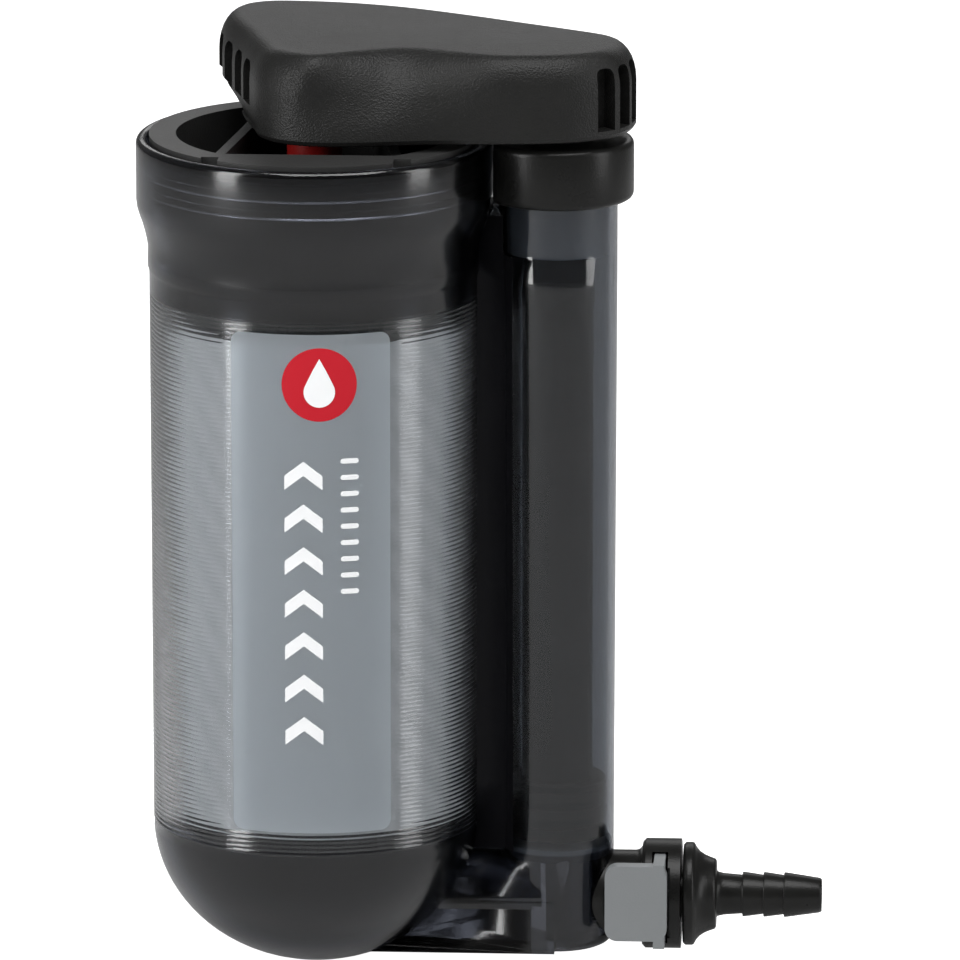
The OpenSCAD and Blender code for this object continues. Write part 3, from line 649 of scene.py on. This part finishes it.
grip_bm = bmesh.new()
ring = [grip_bm.verts.new(grip_point(p, levels[0][0])) for p in level_outline(0, levels[0][1])]
edges = [grip_bm.edges.new((ring[i], ring[(i + 1) % len(ring)])) for i in range(len(ring))]
grip_bm.faces.new(ring)
for height, inset in levels[1:]:
    grown = bmesh.ops.extrude_edge_only(grip_bm, edges=edges)["geom"]
    edges = [g for g in grown if isinstance(g, bmesh.types.BMEdge)]
    # the new points come in no set order, so each is found over the edge that joins it to its source
    new_points = {g for g in grown if isinstance(g, bmesh.types.BMVert)}
    ring = [next(e.other_vert(vert) for e in vert.link_edges if e.other_vert(vert) in new_points)
            for vert in ring]
    for vert, place in zip(ring, level_outline(height / GRIP_HEIGHT, inset)):
        vert.co = grip_point(place, height)
grip_bm.faces.new(ring)
bmesh.ops.recalc_face_normals(grip_bm, faces=grip_bm.faces)
print("grip loft:", len(grip_bm.faces), "faces")

# %% [markdown]
# ## Grip windows
# The nose and the far end have deep windows between thin ribs. They are cut with a Boolean modifier: one
# mesh holds all the cutters, each a box with a rounded top, and the result is applied, then shaded smooth
# with its sharp edges kept.

# %% Grip windows
def window_cutter(bm, direction, distance, width, depth, low, high):
    """Adds one cutter, a box with a rounded top, at a distance from the rod in the given direction."""
    box = bmesh.ops.create_cube(bm, size=1)["verts"]
    size = Matrix.Diagonal((depth, width, high - low, 1))
    bmesh.ops.transform(bm, matrix=size, verts=box)
    upright = [e for e in {e for v in box for e in v.link_edges}
               if abs(e.verts[0].co.x - e.verts[1].co.x) > depth / 2 and e.verts[0].co.z > 0]
    rounded = bmesh.ops.bevel(bm, geom=upright, offset=width * 0.35, segments=4, profile=0.5, affect="EDGES",
                              material=-1)
    box = list({v for f in rounded["faces"] for v in f.verts} | {v for v in box if v.is_valid})
    turn = Matrix.Rotation(direction, 4, "Z")
    place = Matrix.Translation((distance, 0, (low + high) / 2))
    bmesh.ops.transform(bm, matrix=turn @ place, verts=box)
    return box


cutter_bm = bmesh.new()
NOSE_PITCH = 21
for i in range(-2, 3):
    window_cutter(cutter_bm, math.radians(180 + NOSE_PITCH * i), 13.4 * MM, 3.7 * MM, 5.6 * MM, 1.7 * MM,
                  12.6 * MM)
# the far end is cut on a slant, so its row of windows is turned to face it
END_SLANT = math.radians(23.6)
END_PITCH = 7.6 * MM
to_end = Matrix.Translation((57.3 * MM, -0.6 * MM, 0)) @ Matrix.Rotation(END_SLANT, 4, "Z")
for i in range(4):
    window = window_cutter(cutter_bm, 0, 0, 5.6 * MM, 5.4 * MM, 4.4 * MM, 12 * MM)
    bmesh.ops.translate(cutter_bm, vec=(0, (i - 1.6) * END_PITCH, 0), verts=window)
    bmesh.ops.transform(cutter_bm, matrix=to_end, verts=window)
bmesh.ops.transform(cutter_bm, matrix=to_row, verts=cutter_bm.verts)
bmesh.ops.recalc_face_normals(cutter_bm, faces=cutter_bm.faces)
cutter_mesh = bpy.data.meshes.new("window_cutters")
cutter_bm.to_mesh(cutter_mesh)
cutter_bm.free()
cutters = bpy.data.objects.new("window_cutters", cutter_mesh)
bpy.context.scene.collection.objects.link(cutters)

grip = add_piece("grip_shell", grip_bm, grip_black, "handle", ["handle_shell"], 40)
cut = grip.modifiers.new("windows", "BOOLEAN")
cut.object = cutters
cut.operation = "DIFFERENCE"
cut.solver = "EXACT"
bpy.context.view_layer.update()
cut_mesh = bpy.data.meshes.new_from_object(grip.evaluated_get(bpy.context.evaluated_depsgraph_get()))
grip.modifiers.clear()
grip.data = cut_mesh
for polygon in grip.data.polygons:
    polygon.use_smooth = True
grip.data.set_sharp_from_angle(angle=math.radians(32))
bpy.data.objects.remove(cutters)
print("grip with windows:", len(grip.data.polygons), "faces")

# %% [markdown]
# ## Label
# The label is a clear film that wraps part of the wall. It starts flat, as a face in the X-Z plane, is
# sliced into narrow upright strips so that it can bend, gets its thickness, and is then wrapped round the
# barrel. Every mark on it is made the same way and lies a hair further out.

# %% Wrap a flat shape round the barrel
FILM_LIFT = 0.03 * MM
FILM_T = 0.12 * MM


def wrapped(outline, lift, thickness):
    """A flat outline of (x, z) points, in metres about the label's middle line, wrapped round the wall."""
    bm = bmesh.new()
    bm.faces.new([bm.verts.new((x, 0, z)) for x, z in outline])
    left, right = min(x for x, z in outline), max(x for x, z in outline)
    step = 0.9 * MM
    for i in range(1, int((right - left) / step) + 1):
        bmesh.ops.bisect_plane(bm, geom=bm.verts[:] + bm.edges[:] + bm.faces[:],
                               plane_co=(left + i * step, 0, 0), plane_no=(1, 0, 0))
    grown = bmesh.ops.extrude_face_region(bm, geom=bm.faces[:])["geom"]
    raised = [g for g in grown if isinstance(g, bmesh.types.BMVert)]
    bmesh.ops.translate(bm, vec=(0, -thickness, 0), verts=raised)
    for vert in bm.verts:
        r = wall_r(vert.co.z) + lift - vert.co.y
        turn = LABEL_TURN + vert.co.x / wall_r(vert.co.z)
        vert.co.x, vert.co.y = r * math.cos(turn), r * math.sin(turn)
    bmesh.ops.recalc_face_normals(bm, faces=bm.faces)
    return bm


def rounded_rectangle(cx, cz, width, height, corner, n=5):
    points = []
    for sx, sz, a in ((1, 1, 0), (-1, 1, 90), (-1, -1, 180), (1, -1, 270)):
        points += arc_points(cx + sx * (width / 2 - corner), cz + sz * (height / 2 - corner), corner,
                             a, a + 90, n)
    return points


label_mid = (label_low + label_high) / 2
film_width = 2 * LABEL_HALF * wall_r(label_mid)
film = rounded_rectangle(0, label_mid, film_width, label_high - label_low, 1.8 * MM)
add_piece("label_skin", wrapped(film, FILM_LIFT, FILM_T), label_film, "housing", ["label"], 30)

# %% [markdown]
# ## Marks on the label
# The marks are plain and generic: a red disc with a white water drop, a column of arrows that point up along
# the flow of clean water, and a thin row of bars beside it.

# %% Disc, drop, arrows and bars
INK_LIFT = FILM_LIFT + FILM_T + 0.01 * MM
INK_T = 0.03 * MM
disc_x, disc_z, disc_r = 1.6 * MM, 110.3 * MM, 6.5 * MM
disc = arc_points(disc_x, disc_z, disc_r, 0, 354, 59)
add_piece("label_disc", wrapped(disc, INK_LIFT, INK_T), ink_red, "housing")

drop = arc_points(disc_x, disc_z - 1.3 * MM, 2.7 * MM, -210, 30, 20)
drop += [(disc_x + 1.2 * MM, disc_z + 2.4 * MM), (disc_x, disc_z + 4.6 * MM),
         (disc_x - 1.2 * MM, disc_z + 2.4 * MM)]
add_piece("label_drop", wrapped(drop, INK_LIFT + 2 * INK_T, INK_T), ink_white, "housing")

x, w, h = -1.2 * MM, 3.3 * MM, 3.4 * MM
for i in range(7):
    z = (46 + 7.6 * i) * MM
    arrow = [(x - w, z), (x, z + h * 0.75), (x + w, z),
             (x + w, z + h * 0.75), (x, z + h * 1.5), (x - w, z + h * 0.75)]
    add_piece(f"label_arrow_{i}", wrapped(arrow, INK_LIFT, INK_T), ink_white, "housing")
for i in range(9):
    z = (73.5 + 2.9 * i) * MM
    bar = rounded_rectangle(6.8 * MM, z, 3.2 * MM, 0.9 * MM, 0.4 * MM, 3)
    add_piece(f"label_bar_{i}", wrapped(bar, INK_LIFT, INK_T), ink_white, "housing")

# %% [markdown]
# ## Finishes for the other nodes
# The nodes whose shape is already right keep their mesh and only get a finish.

# %% Node finishes
finishes = {
    "base_cover": satin_black, "rod_bush": bush_grey, "rod_seal": seal_rubber,
    "valve_seat": bush_grey, "inlet_valve": valve_rubber, "transfer_valve": valve_rubber,
    "coupling_seal": seal_rubber, "lid_seal": seal_rubber, "outlet_port": satin_black,
    "cartridge_top_cap": cartridge_black, "prefilter_sleeve": sleeve_fleece, "filter_media": pleat_paper,
    "carbon_core": pressed_carbon, "core_tube": bush_grey, "cartridge_end_cap": cartridge_black,
    "pump_rod": cartridge_black, "piston_head": cartridge_black, "piston_seals": seal_rubber,
    "rod_clip": spring_steel, "handle_base": grip_black, "latch_spring": spring_steel,
    "insert_o_ring": seal_rubber,
}
for node, finish in finishes.items():
    nodes[node].data.materials.clear()
    nodes[node].data.materials.append(finish)
    for polygon in nodes[node].data.polygons:
        polygon.material_index = 0
unfinished = [n for n, o in nodes.items() if not o.hide_render and n not in finishes]
print(len(finishes), "nodes finished; left over:", unfinished)

# %% [markdown]
# ## End
# The scene is built.


print("scene built")
